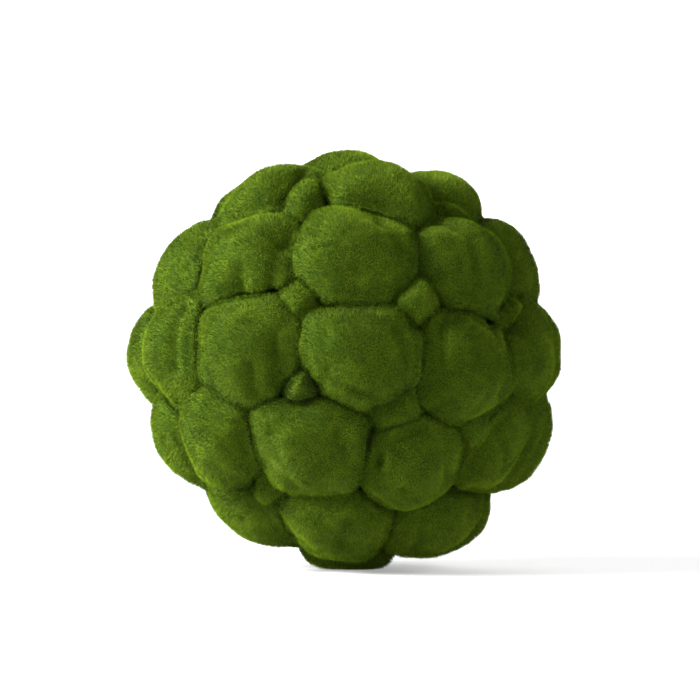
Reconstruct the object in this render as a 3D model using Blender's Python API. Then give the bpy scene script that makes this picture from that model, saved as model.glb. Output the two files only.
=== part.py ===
"""A moss ball: plump moss cushions bedded edge to edge over a round core.

The ball stands on +Z up, with its origin on the floor under its centre. Every cushion is a
pillow with a rounded, squarish outline, pressed flat against its neighbours where they meet,
and the lowest one is flat underneath, where the ball rests.
"""

import math
import random
from dataclasses import dataclass

import bmesh
import bpy
from mathutils import Matrix, Vector

# Driving dimensions, metres
BALL_HEIGHT = 0.195
CORE_RADIUS = 0.078
TOP_RADIUS = 0.0995  # ball centre to the top of a usual cushion
TUFT_TOP_RADIUS = 0.094  # the same for a filler tuft, which sits deeper
GAP = 0.0003  # between any two neighbouring pieces

# The form of a cushion
PLUMPNESS = 1.45  # how far it would swell past its place with nothing pressing on it
TUFT_PLUMPNESS = 2.6  # the same for a filler tuft
SQUARENESS = 3  # exponent of its outline: 2 is an ellipse, more is squarer
PRESS_SHARPNESS = 40  # how sharply its outline turns from its free edge to a pressed one
WAIST = 0.5  # height of its widest place, as a share of its thickness
SHOULDER = 1.0  # exponent of its width against height, smaller is boxier
DOME = 1.4  # exponent of its height above the waist
BELLY = 0.6  # exponent of its height below the waist
RING_CROWDING = 0.8  # draws its rings of corners together towards its top
NEIGHBOUR_ANGLE = math.radians(70)

# How one cushion differs from the next
OUTLINE_WOBBLE = 0.04  # share of its half width
LEAN = 0.05  # how much one side is thicker, as a share of its thickness
TONE_WOBBLE = 0.15  # share of its colour's brightness
SEED = 11

CUSHION_SEGMENTS, CUSHION_RINGS = 18, 6
TUFT_SEGMENTS, TUFT_RINGS = 12, 5
CORE_SUBDIVISIONS = 3
OUTLINE_SAMPLES = 360
CORNER_WINDOW = 8  # samples: an outline's corner reaches further than all this near it
SHIFT_PASSES = 4

MOSS_COLOUR = (0.055, 0.095, 0.009)
MOSS_ROUGHNESS = 0.95
CORE_COLOUR = (0.012, 0.02, 0.006)
CORE_ROUGHNESS = 0.9

COLLECTION_NAME = "moss_ball"
SEAT_RADIUS = CORE_RADIUS + 2 * GAP


@dataclass
class Place:
    """Where a cushion sits on the ball, and its size. Angles are in degrees.

    Longitude 0 faces -Y and grows towards +X. The half width runs along the ring and the half
    height up the ball. Plump is how much wider than its place it would be with nothing pressing
    on it. Taper widens the top end and narrows the lower end, and turn rolls the outline
    anticlockwise, seen from outside.
    """

    longitude: float
    latitude: float
    half_width: float
    half_height: float
    top: float = TOP_RADIUS
    plump: float = PLUMPNESS
    taper: float = 0.0
    turn: float = 0.0


def tuft(*sizes, top=TUFT_TOP_RADIUS):
    """A filler tuft: it swells into whatever room its neighbours leave it."""
    return Place(*sizes, top=top, plump=TUFT_PLUMPNESS)


CROWN = Place(180, 88, 14, 14, top=BALL_HEIGHT / 2)
BASE = Place(0, -90, 11, 11, top=0.101)
TOP_RING = [
    Place(-46, 58, 18, 15, top=0.1),
    Place(21, 58.5, 21, 15, top=0.1005),
    Place(84, 57, 19, 15, top=0.0995),
    Place(140, 58, 17, 16),
    Place(197, 57, 17, 16),
    Place(254, 57, 17, 16, top=0.0955),
]
UPPER_RING = [
    Place(-77, 29, 18, 16, top=0.0988),
    Place(-37, 33, 17, 16.5, turn=8),
    Place(4, 33, 19.5, 18),
    Place(46, 29, 20, 19),
    Place(84, 34, 18, 15, top=0.0995),
    Place(124, 30, 18, 15),
    Place(164, 30, 18, 16),
    Place(204, 31, 18, 15),
    Place(243, 30, 17, 16),
]
BELT_RING = [
    Place(-63, 4, 16, 15, top=0.1005),
    Place(-32, 5, 19, 15, top=0.1005, turn=-8),
    Place(4, 1.5, 18, 15.5, top=0.1015, plump=1.1, taper=0.24),
    Place(38, -3, 17, 19, top=0.1005),
    Place(70, 3, 15, 14),
    Place(101, 1, 17, 15, top=0.103),
    Place(135, 2, 17, 15),
    Place(168, 0, 16, 15),
    Place(200, 2, 16, 15, top=0.102),
    Place(232, 0, 16, 15),
    Place(264, 1, 17, 14, top=0.102),
]
LOWER_RING = [
    Place(-81, -25, 18, 15, top=0.0982),
    Place(-47, -27, 17.5, 15.5),
    Place(-12, -26, 20.5, 17, plump=1.3, taper=0.1),
    Place(24, -33, 19.5, 17.5, taper=0.15),
    Place(56, -29, 16, 17),
    Place(91, -26, 17, 16, top=0.1022),
    Place(128, -27, 17, 15),
    Place(165, -26, 17, 16),
    Place(203, -28, 17, 15),
    Place(241, -26, 17, 16),
]
UNDER_RING = [
    Place(-56, -53, 18, 15, top=0.097),
    Place(-7, -59, 22, 17, top=0.1005),
    Place(50, -55, 18, 16, top=0.103),
    Place(103, -57, 17, 15, top=0.103),
    Place(154, -57, 16, 16),
    Place(203, -58, 16, 15),
    Place(252, -57, 16, 16, top=0.097),
]
FILLERS = [
    tuft(-15, 19, 4.5, 4.5),
    tuft(21, 17, 9, 4.5, top=0.0965),
    tuft(60, 15, 4, 4),
    tuft(14, -15, 8, 4, top=0.094),
    tuft(43, -21, 3.5, 3, top=0.093),
    tuft(-34, -42, 7, 5),
    tuft(-21, 55, 6, 10, top=0.096),
    tuft(54, 48, 8, 6),
    tuft(114, 15, 7, 7),
    tuft(184, 44, 7, 6),
    tuft(218, 15, 7, 8, top=0.0955),
    tuft(150, -13, 7, 6, top=0.0935),
    tuft(225, -42, 7, 7),
    tuft(-13, -8, 3.5, 4, top=0.092),
]


def numbered(name, places):
    """The places of a ring, by node name."""
    return {f"{name}_{number}": place for number, place in enumerate(places, 1)}


CUSHIONS = {
    "crown_cushion": CROWN,
    **numbered("top_cushion", TOP_RING),
    **numbered("upper_cushion", UPPER_RING),
    **numbered("belt_cushion", BELT_RING),
    **numbered("lower_cushion", LOWER_RING),
    **numbered("under_cushion", UNDER_RING),
    "base_cushion": BASE,
}
TUFTS = numbered("filler", FILLERS)


def axes(place):
    """The unit vectors east, north and outward at a place on the ball."""
    lon, lat = math.radians(place.longitude), math.radians(place.latitude)
    east = Vector((math.cos(lon), math.sin(lon), 0))
    outward = Vector((math.cos(lat) * math.sin(lon), -math.cos(lat) * math.cos(lon), math.sin(lat)))
    return east, outward.cross(east), outward


def own_reach(place, bearing):
    """The angle from a place's middle to its edge, at a bearing counted from east to north."""
    bearing -= math.radians(place.turn)
    across, up = math.cos(bearing), math.sin(bearing)
    half_width = math.radians(place.half_width) * (1 + place.taper * up)
    half_height = math.radians(place.half_height)
    bulk = abs(across / half_width) ** SQUARENESS + abs(up / half_height) ** SQUARENESS
    return bulk ** (-1 / SQUARENESS)


def reach_towards(place, other):
    """One place's own reach in the direction of another."""
    east, north, outward = axes(place)
    towards = axes(other)[2]
    return own_reach(place, math.atan2(towards.dot(north), towards.dot(east)))


def pressed_sides(place, others):
    """The planes, through the ball's centre, that part a cushion from its neighbours.

    Each is a unit normal that points at the neighbour. It splits the arc between the two in
    proportion to how far each would reach.
    """
    outward = axes(place)[2]
    sides = []
    for other in others:
        arc = outward.angle(axes(other)[2])
        if other is place or arc > NEIGHBOUR_ANGLE:
            continue
        mine, theirs = reach_towards(place, other), reach_towards(other, place)
        share = arc * mine / (mine + theirs)
        tangent = (axes(other)[2] - outward * math.cos(arc)).normalized()
        sides.append(tangent * math.cos(share) - outward * math.sin(share))
    return sides


def pressed_reach(place, sides, bearing, wobble):
    """The angle from the place's middle to its edge, once its neighbours press on it."""
    east, north, outward = axes(place)
    direction = east * math.cos(bearing) + north * math.sin(bearing)
    reaches = [own_reach(place, bearing) * place.plump * (1 + wobble)]
    for normal in sides:
        towards = normal.dot(direction)
        if towards > 0:
            depth = -normal.dot(outward)
            margin = math.asin(GAP / 2 / SEAT_RADIUS / math.hypot(depth, towards))
            reaches.append(math.atan2(depth, towards) - margin)
    return sum(reach**-PRESS_SHARPNESS for reach in reaches) ** (-1 / PRESS_SHARPNESS)


def column_bearings(segments, reach_at):
    """The bearings of a cushion's columns of mesh corners, one of them on each corner of its outline.

    The others follow, so that they stay evenly spread.
    """
    step = math.tau / segments
    reaches = [reach_at(math.tau * sample / OUTLINE_SAMPLES) for sample in range(OUTLINE_SAMPLES)]
    shifts = {}
    for sample, reach in enumerate(reaches):
        window = range(sample - CORNER_WINDOW, sample + CORNER_WINDOW + 1)
        if reach == max(reaches[near % OUTLINE_SAMPLES] for near in window):
            from_north = math.tau * sample / OUTLINE_SAMPLES - math.pi / 2
            column = round(from_north / step)
            shifts[column % segments] = from_north - column * step
    held = set(shifts)
    for _ in range(SHIFT_PASSES):
        for column in range(segments):
            if column not in held:
                sides = ((column - 1) % segments, (column + 1) % segments)
                shifts[column] = sum(shifts.get(side, 0) for side in sides) / 2
    return [math.pi / 2 + step * column + shifts[column] for column in range(segments)]


def profile(polar):
    """A cushion's width and height, each from 0 to 1, at a sphere's angle from its top (0 to pi)."""
    if polar < math.radians(179):
        polar *= RING_CROWDING
    side, along = math.sin(polar), math.cos(polar)
    width = max(side, 0) ** SHOULDER
    if along > 0:
        return width, WAIST + (1 - WAIST) * along**DOME
    return width, WAIST * (1 - abs(along) ** BELLY)


def bed(mesh, segments, place, others, rng):
    """Shapes a unit sphere's vertices into the cushion that fills a place, in ball space."""
    east, north, outward = axes(place)
    sides = pressed_sides(place, others)
    lobes = rng.choice((2, 3))
    phase, lean_phase = rng.uniform(0, math.tau), rng.uniform(0, math.tau)
    lean = 0 if place is BASE else LEAN

    def reach_at(bearing):
        wobble = OUTLINE_WOBBLE * math.sin(lobes * bearing + phase)
        return pressed_reach(place, sides, bearing, wobble)

    bearings = column_bearings(segments, reach_at)
    for vertex in mesh.verts:
        from_north = math.atan2(vertex.co.y, vertex.co.x) - math.pi / 2
        bearing = bearings[round(from_north / math.tau * segments) % segments]
        width, height = profile(math.acos(max(-1, min(1, vertex.co.z))))
        reach = width * reach_at(bearing)
        thickness = (place.top - SEAT_RADIUS) * (1 + lean * width * math.cos(bearing - lean_phase))
        radius = SEAT_RADIUS + height * thickness
        direction = east * math.cos(bearing) + north * math.sin(bearing)
        vertex.co = radius * (outward * math.cos(reach) + direction * math.sin(reach))
    if place is BASE:
        for vertex in mesh.verts:
            vertex.co.z = max(vertex.co.z, -BALL_HEIGHT / 2)


def make_material(name, colour, roughness):
    """A plain Principled material."""
    material = bpy.data.materials.new(name)
    material.use_nodes = True
    shader = material.node_tree.nodes["Principled BSDF"]
    shader.inputs["Base Color"].default_value = (*colour, 1)
    shader.inputs["Roughness"].default_value = roughness
    shader.inputs["Metallic"].default_value = 0
    material.diffuse_color = (*colour, 1)
    return material


def add_object(name, mesh, material, parent, collection):
    """Turns a bmesh into a smooth-shaded object of the ball."""
    data = bpy.data.meshes.new(name)
    bmesh.ops.recalc_face_normals(mesh, faces=mesh.faces)
    mesh.to_mesh(data)
    mesh.free()
    data.shade_smooth()
    data.materials.append(material)
    piece = bpy.data.objects.new(name, data)
    piece.parent = parent
    collection.objects.link(piece)
    return piece


def make_core(parent, collection):
    """The round core, with its centre at the ball's."""
    mesh = bmesh.new()
    bmesh.ops.create_icosphere(mesh, subdivisions=CORE_SUBDIVISIONS, radius=CORE_RADIUS)
    material = make_material("core", CORE_COLOUR, CORE_ROUGHNESS)
    add_object("core_ball", mesh, material, parent, collection)


def make_cushion(name, place, others, segments, rings, rng, parent, collection):
    """One cushion, with its origin on its seat and its local Z pointing out of the ball."""
    mesh = bmesh.new()
    bmesh.ops.create_uvsphere(mesh, u_segments=segments, v_segments=rings, radius=1)
    bed(mesh, segments, place, others, rng)
    east, north, outward = axes(place)
    seat = Matrix((east, north, outward)).transposed().to_4x4()
    seat.translation = SEAT_RADIUS * outward
    bmesh.ops.transform(mesh, matrix=seat.inverted(), verts=mesh.verts)
    tone = 1 + rng.uniform(-TONE_WOBBLE, TONE_WOBBLE)
    material = make_material(name, [tone * part for part in MOSS_COLOUR], MOSS_ROUGHNESS)
    piece = add_object(name, mesh, material, parent, collection)
    piece.matrix_local = seat


def main():
    for thing in list(bpy.data.objects):
        bpy.data.objects.remove(thing, do_unlink=True)
    collection = bpy.data.collections.new(COLLECTION_NAME)
    bpy.context.scene.collection.children.link(collection)
    centre = bpy.data.objects.new("ball_centre", None)
    centre.location = (0, 0, BALL_HEIGHT / 2)
    collection.objects.link(centre)
    make_core(centre, collection)
    others = [*CUSHIONS.values(), *TUFTS.values()]
    rng = random.Random(SEED)
    for name, place in CUSHIONS.items():
        make_cushion(
            name, place, others, CUSHION_SEGMENTS, CUSHION_RINGS, rng, centre, collection
        )
    for name, place in TUFTS.items():
        make_cushion(name, place, others, TUFT_SEGMENTS, TUFT_RINGS, rng, centre, collection)


main()
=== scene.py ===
"""The looks of a decorative moss ball: its flocked cushions, fibre by fibre, and the core between them."""

import math

import bpy
import numpy as np
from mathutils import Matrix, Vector
from mathutils.bvhtree import BVHTree


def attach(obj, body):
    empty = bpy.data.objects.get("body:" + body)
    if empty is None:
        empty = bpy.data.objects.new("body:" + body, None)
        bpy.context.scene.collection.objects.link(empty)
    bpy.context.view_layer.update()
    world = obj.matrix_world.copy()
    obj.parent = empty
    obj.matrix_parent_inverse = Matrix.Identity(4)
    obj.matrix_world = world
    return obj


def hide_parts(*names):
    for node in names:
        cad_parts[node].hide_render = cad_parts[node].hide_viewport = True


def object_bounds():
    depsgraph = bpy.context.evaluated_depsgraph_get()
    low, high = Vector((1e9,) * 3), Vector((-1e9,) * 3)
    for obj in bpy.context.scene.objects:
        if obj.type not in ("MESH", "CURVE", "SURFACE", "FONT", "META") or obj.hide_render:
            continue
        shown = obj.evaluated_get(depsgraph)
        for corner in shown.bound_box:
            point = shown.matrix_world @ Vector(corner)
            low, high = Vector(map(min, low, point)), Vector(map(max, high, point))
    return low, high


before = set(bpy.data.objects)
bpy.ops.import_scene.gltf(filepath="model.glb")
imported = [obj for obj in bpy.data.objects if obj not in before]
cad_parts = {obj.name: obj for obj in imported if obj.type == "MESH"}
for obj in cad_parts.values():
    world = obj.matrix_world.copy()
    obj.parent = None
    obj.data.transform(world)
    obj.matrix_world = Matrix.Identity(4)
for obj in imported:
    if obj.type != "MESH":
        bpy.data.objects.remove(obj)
cad_low, cad_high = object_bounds()

MM = 0.001
CORE = "core_ball"
BALL_CENTRE = Vector((0, 0, (cad_low.z + cad_high.z) / 2))
BALL_RADIUS = (cad_high.z - cad_low.z) / 2

# The grid that a skin is wrapped on: parts around it, rings on its outside and rings on its bed.
CUSHION_GRID = (56, 20, 3)
FILLER_GRID = (32, 12, 2)
SHOULDER_ANGLE = math.radians(118)  # where the outer rings end, from the top
NEARLY_UPRIGHT = 0.9  # the height of a unit vector that is too upright to be crossed with +Z

# How a cushion's skin differs from its solid.
PUFF = 1.3 * MM  # how much plumper it is in the middle
PUFF_ANGLE = math.radians(85)  # where that ends, from the top
PRESSED = 6.0 * MM  # the most that it swells into a gap beside it
OPEN_GAP = 20.0 * MM  # a gap this wide isn't swelled into at all
FILLED_RADIUS = 88 * MM  # the gaps are filled up to here from the ball's centre
SEAM_RADIUS = 96 * MM  # and not at all from here up, where the seams run
SMOOTHING = 8  # rounds
SMOOTHING_PULLS = (0.5, -0.52)  # in to the mean of a point's neighbours, then out again

# Smooth random heights are a sum of waves, whose rates differ by these factors.
WAVES = 24
WAVE_SPREAD = (0.6, 1.3)

# The foam's random relief.
LUMP_SIZE = 20 * MM
LUMP_HEIGHT = 1.1 * MM
DIMPLE_SIZE = 10 * MM
DIMPLE_HEIGHT = 0.45 * MM
SLOPE_STEP = 0.3 * MM  # how far apart two heights are taken to find a slope

# The flock. Tilts are slopes.
FIBRES = 850_000
FIBRE_LENGTH = 1.7 * MM
LENGTH_SPREAD = 0.25
FIBRE_WIDTH = 0.2 * MM
FLOCK_DEPTH = 1.3 * MM  # from a skin's outside down to the roots
ROOT_FLOOR = 0.4 * MM  # how far over the floor the roots stay
TILT = 0.25  # the spread of each fibre's own tilt
NAP_TILT = 0.16  # the tilt that fibres near each other share
NAP_SIZE = 9 * MM
PIT_DEPTH = 4 * MM  # in a pit this deep the fibres have about a third of their length
WORN_SHARE = 0.5  # how much shorter the fibres are where they are worn
HIDDEN_SHARE = 0.04  # a face out of sight has this share of the full flock
FULL_SIGHT = 0.4  # a face at least this much in sight has all of it
SIGHT_START = 0.4 * MM  # how far over the skin the lines of sight start
SIGHT_RISES = (0, 0.5, 1, 2, 5)  # how much more outward than its normal each line of sight goes

# The flock's tones, from 0, the darkest, to 1.
TONE = 0.5
TONE_LIMITS = (0.02, 0.98)
CUSHION_SHADE = 0.06  # how much lighter or darker a whole cushion is, at most
CUSHION_TURN = 7.3  # radians from one cushion to the next, on the wave that sets that
PATCH_SHADE = 0.12
PATCH_SIZE = 14 * MM
SPOT_SHADE = 0.07
SPOT_SIZE = 3 * MM
FIBRE_SHADE = 0.17  # the spread from fibre to fibre
MARK_PAINTED_SHADE = 0.1  # painted shade: how much a mark darkens the flock in its pit, or lightens it on a ridge, per mm of its height
WORN_SHADE = 0.45  # how much lighter the flock is where it is worn
SEAM_PAINTED_SHADE = 0.45  # painted shade: how much darker the flock is made in the seams, where shade falls
PAINTED_SHADE_RADII = (87 * MM, 95 * MM)  # from the ball's centre, where that painted shade is full and where it ends
TUFT_PAINTED_SHADE = 0.3  # painted shade: how much darker the flock is made on the tufts that lie in shadow

# A cushion's seed is its number times SEED_STEP, and the others are counted from it.
SEED_STEP = 100
NAP_SEED = 20
TONE_SEED = 30
FIBRE_SEED = 1000

# The map holds the fibres' tones in a strip on its left, and the skin, unrolled, in the rest.
PALETTE_MAP = "OFBake"
PALETTE_SHARE = 0.2
PALETTE_STEP = 0.0025  # how far the two corners of a fibre's root are from its tone
MAP_MARGIN = 0.01

# The grain of the felt and of the core's foam.
SPECKLE_SIZE = 0.5 * MM
MOTTLE_SIZE = 9 * MM
SPECKLE_BUMP = 0.3 * MM
FOAM_GRAINS = 300  # across the core

# The studio, in metres. The sweep is a floor that bends up into a wall behind the ball.
SWEEP_FRONT = -3.0
SWEEP_BEND = 1.2
SWEEP_RADIUS = 1.0
SWEEP_TOP = 3.5
SWEEP_HALF_WIDTH = 4.0
SWEEP_STEPS = 16
WORLD_STRENGTH = 0.085
LIGHTS = {  # azimuth and elevation in degrees, distance, size, and power in watts
    "key": (-76, 28, 1.5, 0.8, 170),
    "fill": (58, 28, 1.8, 1.0, 28),
    "backdrop": (180, 45, 2.2, 2.0, 150),
}
BACKDROP_TILT = math.radians(70)  # from straight down, towards the wall
CAMERA_LENS = 176
CAMERA_SENSOR = 36
CAMERA_OFFSET = Vector((0.0014, -1.6, 0.0047))  # from the ball's centre
CAMERA_REACH = 20


def direction(longitude, latitude):
    """The unit vector from the ball's centre. Longitude 0 faces -Y, and grows towards +X."""
    lon, lat = math.radians(longitude), math.radians(latitude)
    return np.array((math.cos(lat) * math.sin(lon), -math.cos(lat) * math.cos(lon), math.sin(lat)))


def unit(vectors):
    """The vectors at length 1."""
    return vectors / np.maximum(np.linalg.norm(vectors, axis=-1, keepdims=True), 1e-12)


def waves(points, size, seed):
    """Smooth random heights, mostly from -1 to 1, with bumps about size across."""
    rng = np.random.default_rng(seed)
    turns = rng.normal(size=(3, WAVES))
    turns *= math.pi / size * rng.uniform(*WAVE_SPREAD, WAVES) / np.linalg.norm(turns, axis=0)
    return np.sin(points @ turns + rng.uniform(0, 2 * math.pi, WAVES)).sum(1) / math.sqrt(WAVES)


# Dents, pits, folds and ridges of the foam: the node, a line of (longitude, latitude) that the mark runs
# along, and its width and height in mm. A single point is a round mark.
MARKS = [
    ("upper_cushion_1", [(-62, 27)], 2.0, -3.6),
    ("upper_cushion_1", [(-68, 38), (-70, 22)], 4.0, -1.6),
    ("upper_cushion_2", [(-23, 33), (-24, 16)], 3.2, -1.9),
    ("upper_cushion_2", [(-33, 25), (-34, 19)], 2.8, -1.4),
    ("upper_cushion_2", [(-43, 31), (-32, 34), (-21, 31)], 1.6, 1.0),
    ("upper_cushion_3", [(-14, 32), (-6, 33)], 1.5, 1.0),
    ("upper_cushion_3", [(12, 41), (17, 33)], 3.4, -1.8),
    ("upper_cushion_3", [(2, 24), (9, 21)], 3.6, -1.3),
    ("upper_cushion_4", [(35, 40), (41, 34), (40, 24)], 3.0, -2.0),
    ("upper_cushion_4", [(52, 36), (53, 24)], 2.8, -1.6),
    ("upper_cushion_4", [(31, 37)], 6.0, 1.6),
    ("top_cushion_1", [(-30, 66), (-27, 52)], 2.8, -2.2),
    ("top_cushion_1", [(-48, 50), (-42, 66)], 5.0, 1.0),
    ("top_cushion_2", [(35, 66), (38, 50)], 2.8, -1.9),
    ("belt_cushion_1", [(-54, 15), (-54, -2)], 3.2, -2.0),
    ("belt_cushion_1", [(-61, -12), (-61, -15)], 1.8, -3.0),
    ("belt_cushion_1", [(-70, 12), (-68, -6)], 3.0, -1.6),
    ("belt_cushion_2", [(-19, 8), (-19, -8)], 3.5, -2.1),
    ("belt_cushion_2", [(-26, -1), (-27, -9)], 2.8, -1.7),
    ("belt_cushion_2", [(-36, 16), (-33, 13)], 3.0, -1.8),
    ("belt_cushion_2", [(-43, 2), (-42, -6)], 4.0, -1.2),
    ("belt_cushion_3", [(13, 8), (16, 1)], 3.5, -2.1),
    ("belt_cushion_3", [(-5, 7), (-9, 12)], 3.2, -1.2),
    ("belt_cushion_3", [(2, -8), (8, -10)], 3.2, -1.7),
    ("belt_cushion_3", [(-6, -3), (-8, -8)], 3.0, -1.2),
    ("belt_cushion_4", [(27, 11), (26, 0)], 2.8, -2.2),
    ("belt_cushion_4", [(47, 10), (50, 0), (46, -9)], 2.8, -2.0),
    ("belt_cushion_4", [(36, -15), (40, -9)], 2.8, -1.4),
    ("lower_cushion_1", [(-71, -22)], 2.2, -3.4),
    ("lower_cushion_2", [(-54, -18), (-41, -28)], 3.2, -2.0),
    ("lower_cushion_2", [(-52, -32)], 1.8, -3.2),
    ("lower_cushion_3", [(-13, -34)], 1.8, -3.2),
    ("lower_cushion_3", [(-26, -29)], 3.2, -1.4),
    ("lower_cushion_3", [(-22, -20), (-18, -36)], 3.6, -1.6),
    ("lower_cushion_3", [(-3, -20), (0, -30)], 3.2, -1.5),
    ("lower_cushion_4", [(9.8, -27), (9.4, -29.5)], 1.7, -5.5),
    ("lower_cushion_4", [(7.4, -27), (7.2, -30)], 1.4, 1.2),
    ("lower_cushion_4", [(12.2, -26.5), (12, -29.5)], 1.3, 0.8),
    ("lower_cushion_4", [(17.5, -35.5)], 1.8, -3.4),
    ("lower_cushion_4", [(15, -22), (24, -19)], 2.4, -1.4),
    ("lower_cushion_4", [(31, -22), (34, -34)], 3.0, -1.9),
    ("lower_cushion_5", [(50, -19), (58, -31), (66, -24)], 2.8, -2.0),
    ("under_cushion_1", [(-51, -49)], 2.0, -3.6),
    ("under_cushion_1", [(-49, -43)], 1.7, -2.8),
    ("under_cushion_2", [(0, -48), (-4, -58)], 3.4, -1.9),
    ("under_cushion_3", [(32, -46), (38, -60)], 3.0, -1.9),
]
# Where the flock is worn, in the same form. At a height of 1 it is fully worn.
WORN_PATCHES = [("lower_cushion_3", [(-24, -28), (-22, -30)], 3.2, 1.0)]
SHADOWED_TUFTS = ("filler_14",)  # tufts that lie in shadow, with painted shade in their flock


def mark_heights(node, points, marks):
    """How far the marks that are on a node lift or sink each point."""
    height = np.zeros(len(points))
    reach = np.linalg.norm(points, axis=1, keepdims=True)
    for place, route, width, rise in marks:
        if place != node:
            continue
        stops = [direction(*stop) for stop in route]
        away = np.full(len(points), np.inf)
        for start, end in zip(stops, stops[1:] or stops):
            span = end - start
            share = np.zeros((len(points), 1))
            if len(stops) > 1:
                share = ((points / reach - start) @ span / (span @ span)).clip(0, 1)[:, None]
            away = np.minimum(away, np.linalg.norm(points - reach * (start + share * span), axis=1))
        height += rise * MM * np.exp(-((away / (width * MM)) ** 2))
    return height


def relief(node, points, seed):
    """How far the foam's lumps, dimples and marks lift each point, given from the ball's centre."""
    return (
        LUMP_HEIGHT * waves(points, LUMP_SIZE, seed)
        + DIMPLE_HEIGHT * waves(points, DIMPLE_SIZE, seed + 1)
        + mark_heights(node, points, MARKS)
    )


def mesh_arrays(node):
    """A node's corner points, from the ball's centre, and its triangles."""
    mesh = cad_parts[node].data
    mesh.calc_loop_triangles()
    points = np.array([v.co - BALL_CENTRE for v in mesh.vertices])
    return points, np.array([t.vertices[:] for t in mesh.loop_triangles])


SOLIDS = {node: mesh_arrays(node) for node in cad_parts}


def joined_tree(nodes):
    """The solids of several nodes in one tree of triangles."""
    points, faces, count = [], [], 0
    for node in nodes:
        found, triangles = SOLIDS[node]
        points.append(found)
        faces.append(triangles + count)
        count += len(found)
    return BVHTree.FromPolygons(np.concatenate(points).tolist(), np.concatenate(faces).tolist())


def volume_centre(points, faces):
    """The centre of a closed mesh's volume."""
    corners = points[faces]
    volumes = np.einsum("ij,ij->i", corners[:, 0], np.cross(corners[:, 1], corners[:, 2]))
    return (corners.sum(1) * volumes[:, None]).sum(0) / volumes.sum() / 4


def grid_rays(points, up, segments, outer_rings, inner_rings):
    """The directions from a solid's centre to its skin's points, ring by ring from the top to the bed."""
    side = np.cross(up, (0, 0, 1) if abs(up[2]) < NEARLY_UPRIGHT else (0, 1, 0))
    side /= np.linalg.norm(side)
    across = np.cross(up, side)
    thick = np.ptp(points @ up) / 2
    wide = (np.ptp(points @ side) + np.ptp(points @ across)) / 4
    angles = np.concatenate((
        np.linspace(0, SHOULDER_ANGLE, outer_rings + 1)[1:],
        np.linspace(SHOULDER_ANGLE, math.pi, inner_rings + 2)[1:-1],
    ))
    around = np.linspace(0, 2 * math.pi, segments, endpoint=False)
    outward = np.cos(around)[:, None] * side + np.sin(around)[:, None] * across
    rays = np.cos(angles)[:, None, None] * thick * up + np.sin(angles)[:, None, None] * wide * outward
    return unit(np.concatenate((up[None], rays.reshape(-1, 3), -up[None])))


def swelling(centre, ray, reach, others):
    """How far a skin swells past its solid's reach along a ray, into the gap before its neighbours."""
    room = others.ray_cast(Vector(centre), Vector(ray))[3]
    if not room:
        return 0
    gap = room - reach
    radius = np.linalg.norm(centre + reach * ray)
    narrow = np.interp(gap, (2 * PRESSED, OPEN_GAP), (1, 0))
    deep = np.interp(radius, (FILLED_RADIUS, SEAM_RADIUS), (1, 0))
    return min(gap / 2, PRESSED) * narrow * deep


def ring_mean(skin, segments):
    """For each point of a wrapped skin, the mean of its neighbours."""
    rings = skin[1:-1].reshape(-1, segments, 3)
    above = np.concatenate((np.broadcast_to(skin[0], (1, segments, 3)), rings[:-1]))
    below = np.concatenate((rings[1:], np.broadcast_to(skin[-1], (1, segments, 3))))
    mean = (np.roll(rings, 1, 1) + np.roll(rings, -1, 1) + above + below) / 4
    return np.concatenate((rings[:1].mean(1), mean.reshape(-1, 3), rings[-1:].mean(1)))


def wrapped(node, segments, outer_rings, inner_rings):
    """The points of a smooth closed skin round a node's solid, ring by ring from the top to the bed."""
    points, faces = SOLIDS[node]
    solid = BVHTree.FromPolygons(points.tolist(), faces.tolist())
    others = joined_tree(other for other in SOLIDS if other != node)
    centre = volume_centre(points, faces)
    up = centre / np.linalg.norm(centre)
    rays = grid_rays(points, up, segments, outer_rings, inner_rings)
    skin = []
    for ray in rays:
        reach = solid.ray_cast(Vector(centre), Vector(ray))[3]
        skin.append(centre + (reach + swelling(centre, ray, reach, others)) * ray)
    skin = np.array(skin)
    turned = np.arccos((rays @ up).clip(-1, 1))
    skin += PUFF * (1 - (turned / PUFF_ANGLE) ** 2).clip(min=0)[:, None] * rays
    for _ in range(SMOOTHING):
        for pull in SMOOTHING_PULLS:
            skin += pull * (ring_mean(skin, segments) - skin)
    return skin


def grid_faces(segments, rings):
    """The triangles of a wrapped skin, and the place of each of their corners on the unrolled skin."""
    faces, places = [], []
    last = rings * segments + 1

    def corner(ring, part):
        if ring == 0:
            return 0
        return last if ring > rings else 1 + (ring - 1) * segments + part % segments

    for ring in range(rings + 1):
        for part in range(segments):
            upper = [(ring, part), (ring + 1, part), (ring + 1, part + 1)]
            lower = [(ring, part), (ring + 1, part + 1), (ring, part + 1)]
            for triangle in (upper if ring < rings else None, lower if ring > 0 else None):
                if triangle:
                    faces.append([corner(*spot) for spot in triangle])
                    places.append([(spot[1] / segments, spot[0] / (rings + 1)) for spot in triangle])
    return np.array(faces), np.array(places)


def face_vectors(points, faces):
    """A vector square to each face, as long as twice its area."""
    corners = points[faces]
    return np.cross(corners[:, 1] - corners[:, 0], corners[:, 2] - corners[:, 0])


def point_normals(points, faces):
    """Each point's outward normal, from the faces round it."""
    across = face_vectors(points, faces)
    normals = np.zeros_like(points)
    for corner in range(3):
        np.add.at(normals, faces[:, corner], across)
    return unit(normals)


def tangents(normals):
    """Two directions along the surface, square to each normal."""
    spare = np.where(np.abs(normals[:, 2:]) < NEARLY_UPRIGHT, (0, 0, 1), (0, 1, 0))
    first = unit(np.cross(normals, spare))
    return first, np.cross(normals, first)


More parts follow.
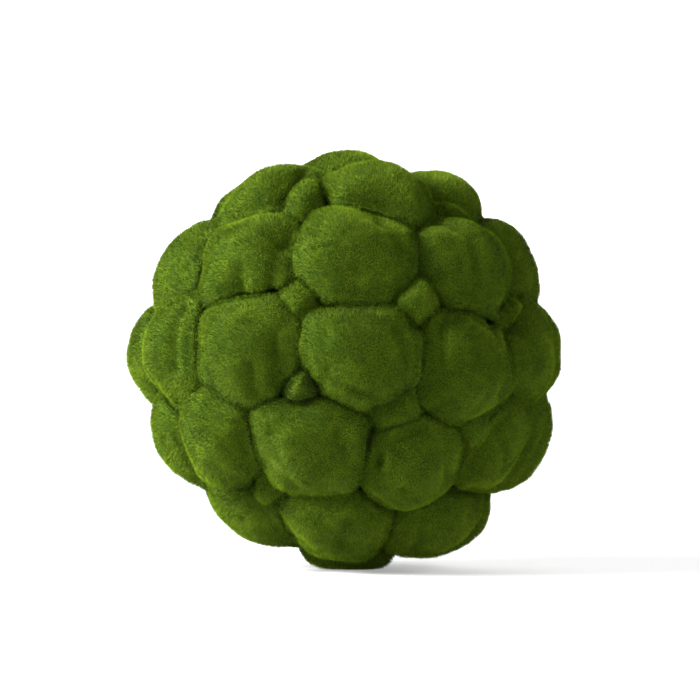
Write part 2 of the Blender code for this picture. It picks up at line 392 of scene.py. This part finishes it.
class Skin:
    """One cushion's skin: its outside, which the flock reaches, and the points under the flock."""

    def __init__(self, node, seed):
        self.node = node
        self.seed = seed
        segments, outer_rings, inner_rings = FILLER_GRID if "filler" in node else CUSHION_GRID
        self.outer = wrapped(node, segments, outer_rings, inner_rings)
        self.faces, places = grid_faces(segments, outer_rings + inner_rings)
        room = np.array((1 - PALETTE_SHARE - 2 * MAP_MARGIN, 1 - 2 * MAP_MARGIN))
        self.places = (PALETTE_SHARE + MAP_MARGIN, MAP_MARGIN) + places * room
        self.normals = point_normals(self.outer, self.faces)
        self.points = self.lowered(self.outer, self.normals)

    def lowered(self, points, normals):
        """Points of the outside brought down to the flock's roots, and kept off the floor."""
        points = points + normals * (relief(self.node, points, self.seed) - FLOCK_DEPTH)[:, None]
        points[:, 2] = points[:, 2].clip(ROOT_FLOOR - BALL_CENTRE.z)
        return points

    def leaning(self, points, normals):
        """The normals of the lowered surface."""
        first, second = tangents(normals)
        here = relief(self.node, points, self.seed)
        for along in (first, second):
            slope = (relief(self.node, points + SLOPE_STEP * along, self.seed) - here) / SLOPE_STEP
            normals = normals - slope[:, None] * along
        return unit(normals)

    def in_sight(self, solids):
        """For each face, from 0 to 1, how far it can be seen from outside the ball."""
        outward = unit(self.outer)
        starts = self.outer + SIGHT_START * self.normals
        clear = np.zeros(len(starts))
        for rise in SIGHT_RISES:
            rays = unit(self.normals + rise * outward)
            clear += [
                not solids.ray_cast(Vector(start), Vector(ray), 2 * BALL_RADIUS)[0]
                for start, ray in zip(starts, rays)
            ]
        return clear[self.faces].mean(1) / len(SIGHT_RISES)

    def flock_weights(self, solids):
        """For each face, how much of the flock it has: its area, less where it is out of sight."""
        areas = np.linalg.norm(face_vectors(self.outer, self.faces), axis=1) / 2
        return areas * (self.in_sight(solids) / FULL_SIGHT).clip(HIDDEN_SHARE, 1)


def scattered(skin, weights, count, rng):
    """Points spread over a skin's outside by its faces' weights, and the normals there."""
    ends = np.cumsum(weights)
    picks = (np.arange(count) + rng.uniform(size=count)) / count * ends[-1]
    chosen = np.searchsorted(ends, picks).clip(0, len(weights) - 1)
    a, b = rng.uniform(size=(2, count))
    a, b = np.where(a + b > 1, (1 - a, 1 - b), (a, b))
    parts = np.stack((1 - a - b, a, b), 1)[:, :, None]
    corners = skin.faces[chosen]
    return (skin.outer[corners] * parts).sum(1), unit((skin.normals[corners] * parts).sum(1))


def fibres_on(skin, weights, count, tone):
    """The fibres of one skin: their points, three to a fibre, and their places on the map."""
    rng = np.random.default_rng(skin.seed + FIBRE_SEED)
    outer, flat = scattered(skin, weights, count, rng)
    roots = skin.lowered(outer, flat)
    lean = skin.leaning(outer, flat)
    first, second = tangents(lean)
    nap = [waves(roots, NAP_SIZE, skin.seed + NAP_SEED + way) * NAP_TILT for way in range(2)]
    tilt = rng.normal(size=(2, count)) * TILT
    aim = unit(lean + first * (nap[0] + tilt[0])[:, None] + second * (nap[1] + tilt[1])[:, None])
    turn = rng.uniform(0, math.pi, count)[:, None]
    broad = unit(np.cross(aim, first * np.cos(turn) + second * np.sin(turn)))
    marks = mark_heights(skin.node, outer, MARKS)
    worn = mark_heights(skin.node, outer, WORN_PATCHES) / MM
    length = FIBRE_LENGTH * (1 + LENGTH_SPREAD * rng.uniform(-1, 1, count))[:, None]
    length *= (np.exp(marks.clip(max=0) / PIT_DEPTH) * (1 - WORN_SHARE * worn))[:, None]
    half = broad * FIBRE_WIDTH / 2
    points = np.stack((roots - half, roots + half, roots + aim * length), 1)
    points[:, :, 2] = points[:, :, 2].clip(-BALL_CENTRE.z)
    shade = tone + PATCH_SHADE * waves(roots, PATCH_SIZE, skin.seed + TONE_SEED)
    shade += SPOT_SHADE * waves(roots, SPOT_SIZE, skin.seed + TONE_SEED + 1)
    # Painted shade in the marks' pits, lighter flock on their ridges, and lighter flock where it is worn.
    shade += MARK_PAINTED_SHADE * marks / MM + WORN_SHADE * worn
    # Painted shade: the flock is darkened deep in the seams, where shade falls between the cushions.
    shade -= SEAM_PAINTED_SHADE * np.interp(np.linalg.norm(outer, axis=1), PAINTED_SHADE_RADII, (1, 0))
    shade = (shade + FIBRE_SHADE * rng.normal(size=count)).clip(*TONE_LIMITS)
    places = np.empty((count, 3, 2))
    places[:, :, 0] = PALETTE_SHARE * shade[:, None] + PALETTE_STEP * np.array((-1, 1, 0))
    places[:, :, 1] = (MAP_MARGIN, MAP_MARGIN, 1 - MAP_MARGIN)
    return points.reshape(-1, 3), places


def add_piece(name, points, faces, places, materials, slots):
    """A mesh object made of triangles, with each corner's place on its map and each face's slot."""
    mesh = bpy.data.meshes.new(name)
    mesh.vertices.add(len(points))
    mesh.vertices.foreach_set("co", (points + np.array(BALL_CENTRE)).astype(np.float32).ravel())
    mesh.loops.add(faces.size)
    mesh.loops.foreach_set("vertex_index", faces.astype(np.int32).ravel())
    mesh.polygons.add(len(faces))
    mesh.polygons.foreach_set("loop_start", np.arange(0, faces.size, 3, dtype=np.int32))
    mesh.update(calc_edges=True)
    layer = mesh.uv_layers.new(name=PALETTE_MAP)
    layer.uv.foreach_set("vector", places.astype(np.float32).ravel())
    for material in materials:
        mesh.materials.append(material)
    mesh.polygons.foreach_set("material_index", slots.astype(np.int32))
    mesh.polygons.foreach_set("use_smooth", slots == 0)
    piece = bpy.data.objects.new(name, mesh)
    bpy.context.scene.collection.objects.link(piece)
    return piece


def new_material(name):
    """A new material, its node tree and its shader."""
    material = bpy.data.materials.new(name)
    material.use_nodes = True
    tree = material.node_tree
    return material, tree, tree.nodes["Principled BSDF"]


def ramp_node(tree, stops):
    """A colour ramp with these (place, colour) stops."""
    ramp = tree.nodes.new("ShaderNodeValToRGB")
    elements = ramp.color_ramp.elements
    elements[0].position, elements[0].color = stops[0][0], (*stops[0][1], 1)
    elements[1].position, elements[1].color = stops[-1][0], (*stops[-1][1], 1)
    for place, colour in stops[1:-1]:
        elements.new(place).color = (*colour, 1)
    return ramp


def multiplied(tree, first, second):
    """The product of two colours."""
    mix = tree.nodes.new("ShaderNodeMix")
    mix.data_type = "RGBA"
    mix.blend_type = "MULTIPLY"
    mix.inputs["Factor"].default_value = 1
    tree.links.new(first, mix.inputs["A"])
    tree.links.new(second, mix.inputs["B"])
    return mix.outputs["Result"]


def noise_node(tree, size):
    """Noise with spots about size across, in metres."""
    coords = tree.nodes.new("ShaderNodeTexCoord")
    noise = tree.nodes.new("ShaderNodeTexNoise")
    noise.inputs["Scale"].default_value = 1 / size
    noise.inputs["Detail"].default_value = 2
    tree.links.new(coords.outputs["Object"], noise.inputs["Vector"])
    return noise.outputs["Fac"]


def set_felt_shader(shader):
    """Rough all over, with the faint sheen of short flock."""
    shader.inputs["Roughness"].default_value = 0.85
    shader.inputs["Specular IOR Level"].default_value = 0.05
    shader.inputs["Sheen Weight"].default_value = 0.1
    shader.inputs["Sheen Roughness"].default_value = 0.5
    shader.inputs["Sheen Tint"].default_value = (0.65, 0.8, 0.25, 1)


def fibre_material():
    """Green flock, from a cool deep green to a warm light one, with painted shade that darkens each fibre
    towards its root, where the fibres shade each other.
    """
    material, tree, shader = new_material("moss_fibre")
    link = tree.links.new
    place = tree.nodes.new("ShaderNodeUVMap")
    place.uv_map = PALETTE_MAP
    split = tree.nodes.new("ShaderNodeSeparateXYZ")
    link(place.outputs["UV"], split.inputs[0])
    tone = tree.nodes.new("ShaderNodeMapRange")
    tone.inputs["From Max"].default_value = PALETTE_SHARE
    link(split.outputs["X"], tone.inputs["Value"])
    tones = ramp_node(tree, [
        (0.0, (0.016, 0.034, 0.0005)),
        (0.25, (0.050, 0.094, 0.001)),
        (0.5, (0.094, 0.156, 0.0025)),
        (1.0, (0.168, 0.245, 0.022)),
    ])
    link(tone.outputs["Result"], tones.inputs[0])
    # Painted shade: each fibre is darker towards its root, where the fibres around it shade it.
    height = ramp_node(tree, [
        (0.0, (0.36, 0.39, 0.08)),
        (0.4, (0.66, 0.69, 0.30)),
        (1.0, (1.0, 1.0, 1.0)),
    ])
    link(split.outputs["Y"], height.inputs[0])
    link(multiplied(tree, tones.outputs[0], height.outputs[0]), shader.inputs["Base Color"])
    set_felt_shader(shader)
    return material


def felt_material():
    """The skin that the fibres stand on: the roots of the finest flock, speckled dark and light."""
    material, tree, shader = new_material("moss_felt")
    link = tree.links.new
    speckle = noise_node(tree, SPECKLE_SIZE)
    roots = ramp_node(tree, [
        (0.35, (0.30, 0.34, 0.30)),
        (0.5, (0.6, 0.63, 0.6)),
        (0.68, (1.0, 1.0, 1.0)),
    ])
    link(speckle, roots.inputs[0])
    tones = ramp_node(tree, [
        (0.3, (0.032, 0.064, 0.0005)),
        (0.7, (0.062, 0.102, 0.001)),
    ])
    link(noise_node(tree, MOTTLE_SIZE), tones.inputs[0])
    link(multiplied(tree, tones.outputs[0], roots.outputs[0]), shader.inputs["Base Color"])
    bump = tree.nodes.new("ShaderNodeBump")
    bump.inputs["Distance"].default_value = SPECKLE_BUMP
    bump.inputs["Strength"].default_value = 0.8
    link(speckle, bump.inputs["Height"])
    link(bump.outputs["Normal"], shader.inputs["Normal"])
    set_felt_shader(shader)
    return material


def build_cushions(materials):
    """One flocked piece for each cushion and tuft."""
    nodes = sorted(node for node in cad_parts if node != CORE)
    solids = joined_tree(SOLIDS)
    skins = [Skin(node, SEED_STEP * number) for number, node in enumerate(nodes)]
    weights = [skin.flock_weights(solids) for skin in skins]
    total = sum(part.sum() for part in weights)
    for number, (skin, part) in enumerate(zip(skins, weights)):
        count = int(FIBRES * part.sum() / total)
        tone = TONE + CUSHION_SHADE * math.sin(CUSHION_TURN * number)
        # Painted shade: the tufts that lie in shadow get darker flock.
        if skin.node in SHADOWED_TUFTS:
            tone -= TUFT_PAINTED_SHADE
        points, places = fibres_on(skin, part, count, tone)
        start = len(skin.points)
        piece = add_piece(
            skin.node.replace("cushion", "moss").replace("filler", "filler_moss"),
            np.concatenate((skin.points, points)),
            np.concatenate((skin.faces, np.arange(start, start + 3 * count).reshape(-1, 3))),
            np.concatenate((skin.places, places)),
            materials,
            np.repeat((0, 1), (len(skin.faces), count)),
        )
        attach(piece, "root")
        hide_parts(skin.node)


def build_core():
    """Gives the core its material: dark foam, with a fine grain."""
    material, tree, shader = new_material("core_foam")
    noise = tree.nodes.new("ShaderNodeTexNoise")
    noise.inputs["Scale"].default_value = FOAM_GRAINS
    ramp = ramp_node(tree, [(0.3, (0.006, 0.010, 0.004)), (0.7, (0.018, 0.028, 0.008))])
    tree.links.new(noise.outputs["Fac"], ramp.inputs[0])
    tree.links.new(ramp.outputs[0], shader.inputs["Base Color"])
    shader.inputs["Roughness"].default_value = 0.95
    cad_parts[CORE].material_slots[0].material = material


def light(name):
    """A square area light that faces the ball. Azimuth 0 is in front of it, and grows towards +X."""
    azimuth, elevation, distance, size, power = LIGHTS[name]
    data = bpy.data.lights.new(name, "AREA")
    data.size = size
    data.energy = power
    lamp = bpy.data.objects.new(name, data)
    toward = Vector(direction(azimuth, elevation))
    lamp.location = BALL_CENTRE + toward * distance
    lamp.rotation_euler = toward.to_track_quat("Z", "Y").to_euler()
    bpy.context.scene.collection.objects.link(lamp)
    return lamp


def build_sweep():
    """The pale floor, which curves up behind the ball into a wall."""
    material, _, shader = new_material("studio_white")
    shader.inputs["Base Color"].default_value = (0.5, 0.5, 0.5, 1)
    shader.inputs["Roughness"].default_value = 0.9
    shader.inputs["Emission Color"].default_value = (1, 1, 1, 1)
    shader.inputs["Emission Strength"].default_value = 0.35
    profile = [(SWEEP_FRONT, 0.0)]
    for step in range(SWEEP_STEPS + 1):
        angle = math.pi / 2 * step / SWEEP_STEPS
        profile.append((
            SWEEP_BEND + SWEEP_RADIUS * math.sin(angle),
            SWEEP_RADIUS * (1 - math.cos(angle)),
        ))
    profile.append((SWEEP_BEND + SWEEP_RADIUS, SWEEP_TOP))
    points = [(x, y, z) for y, z in profile for x in (-SWEEP_HALF_WIDTH, SWEEP_HALF_WIDTH)]
    faces = [(2 * i, 2 * i + 1, 2 * i + 3, 2 * i + 2) for i in range(len(profile) - 1)]
    mesh = bpy.data.meshes.new("sweep")
    mesh.from_pydata(points, [], faces)
    mesh.shade_smooth()
    mesh.materials.append(material)
    sweep = bpy.data.objects.new("sweep", mesh)
    bpy.context.scene.collection.objects.link(sweep)


def build_lights():
    """A key light on the left, a weaker fill on the right, a light on the wall and a faint sky."""
    light("key")
    light("fill")
    light("backdrop").rotation_euler = (BACKDROP_TILT, 0, 0)
    world = bpy.data.worlds.new("studio")
    world.use_nodes = True
    sky = world.node_tree.nodes["Background"]
    sky.inputs["Color"].default_value = (1, 1, 1, 1)
    sky.inputs["Strength"].default_value = WORLD_STRENGTH
    bpy.context.scene.world = world
    bpy.context.scene.view_settings.view_transform = "Standard"


def build_camera():
    """A long lens, level with the ball's middle, in front of it."""
    data = bpy.data.cameras.new("camera")
    data.lens = CAMERA_LENS
    data.sensor_width = CAMERA_SENSOR
    data.clip_end = CAMERA_REACH
    camera = bpy.data.objects.new("camera", data)
    camera.location = BALL_CENTRE + CAMERA_OFFSET
    camera.rotation_euler = (math.pi / 2, 0, 0)
    bpy.context.scene.collection.objects.link(camera)
    bpy.context.scene.camera = camera


build_core()
build_cushions((felt_material(), fibre_material()))
build_sweep()
build_lights()
build_camera()
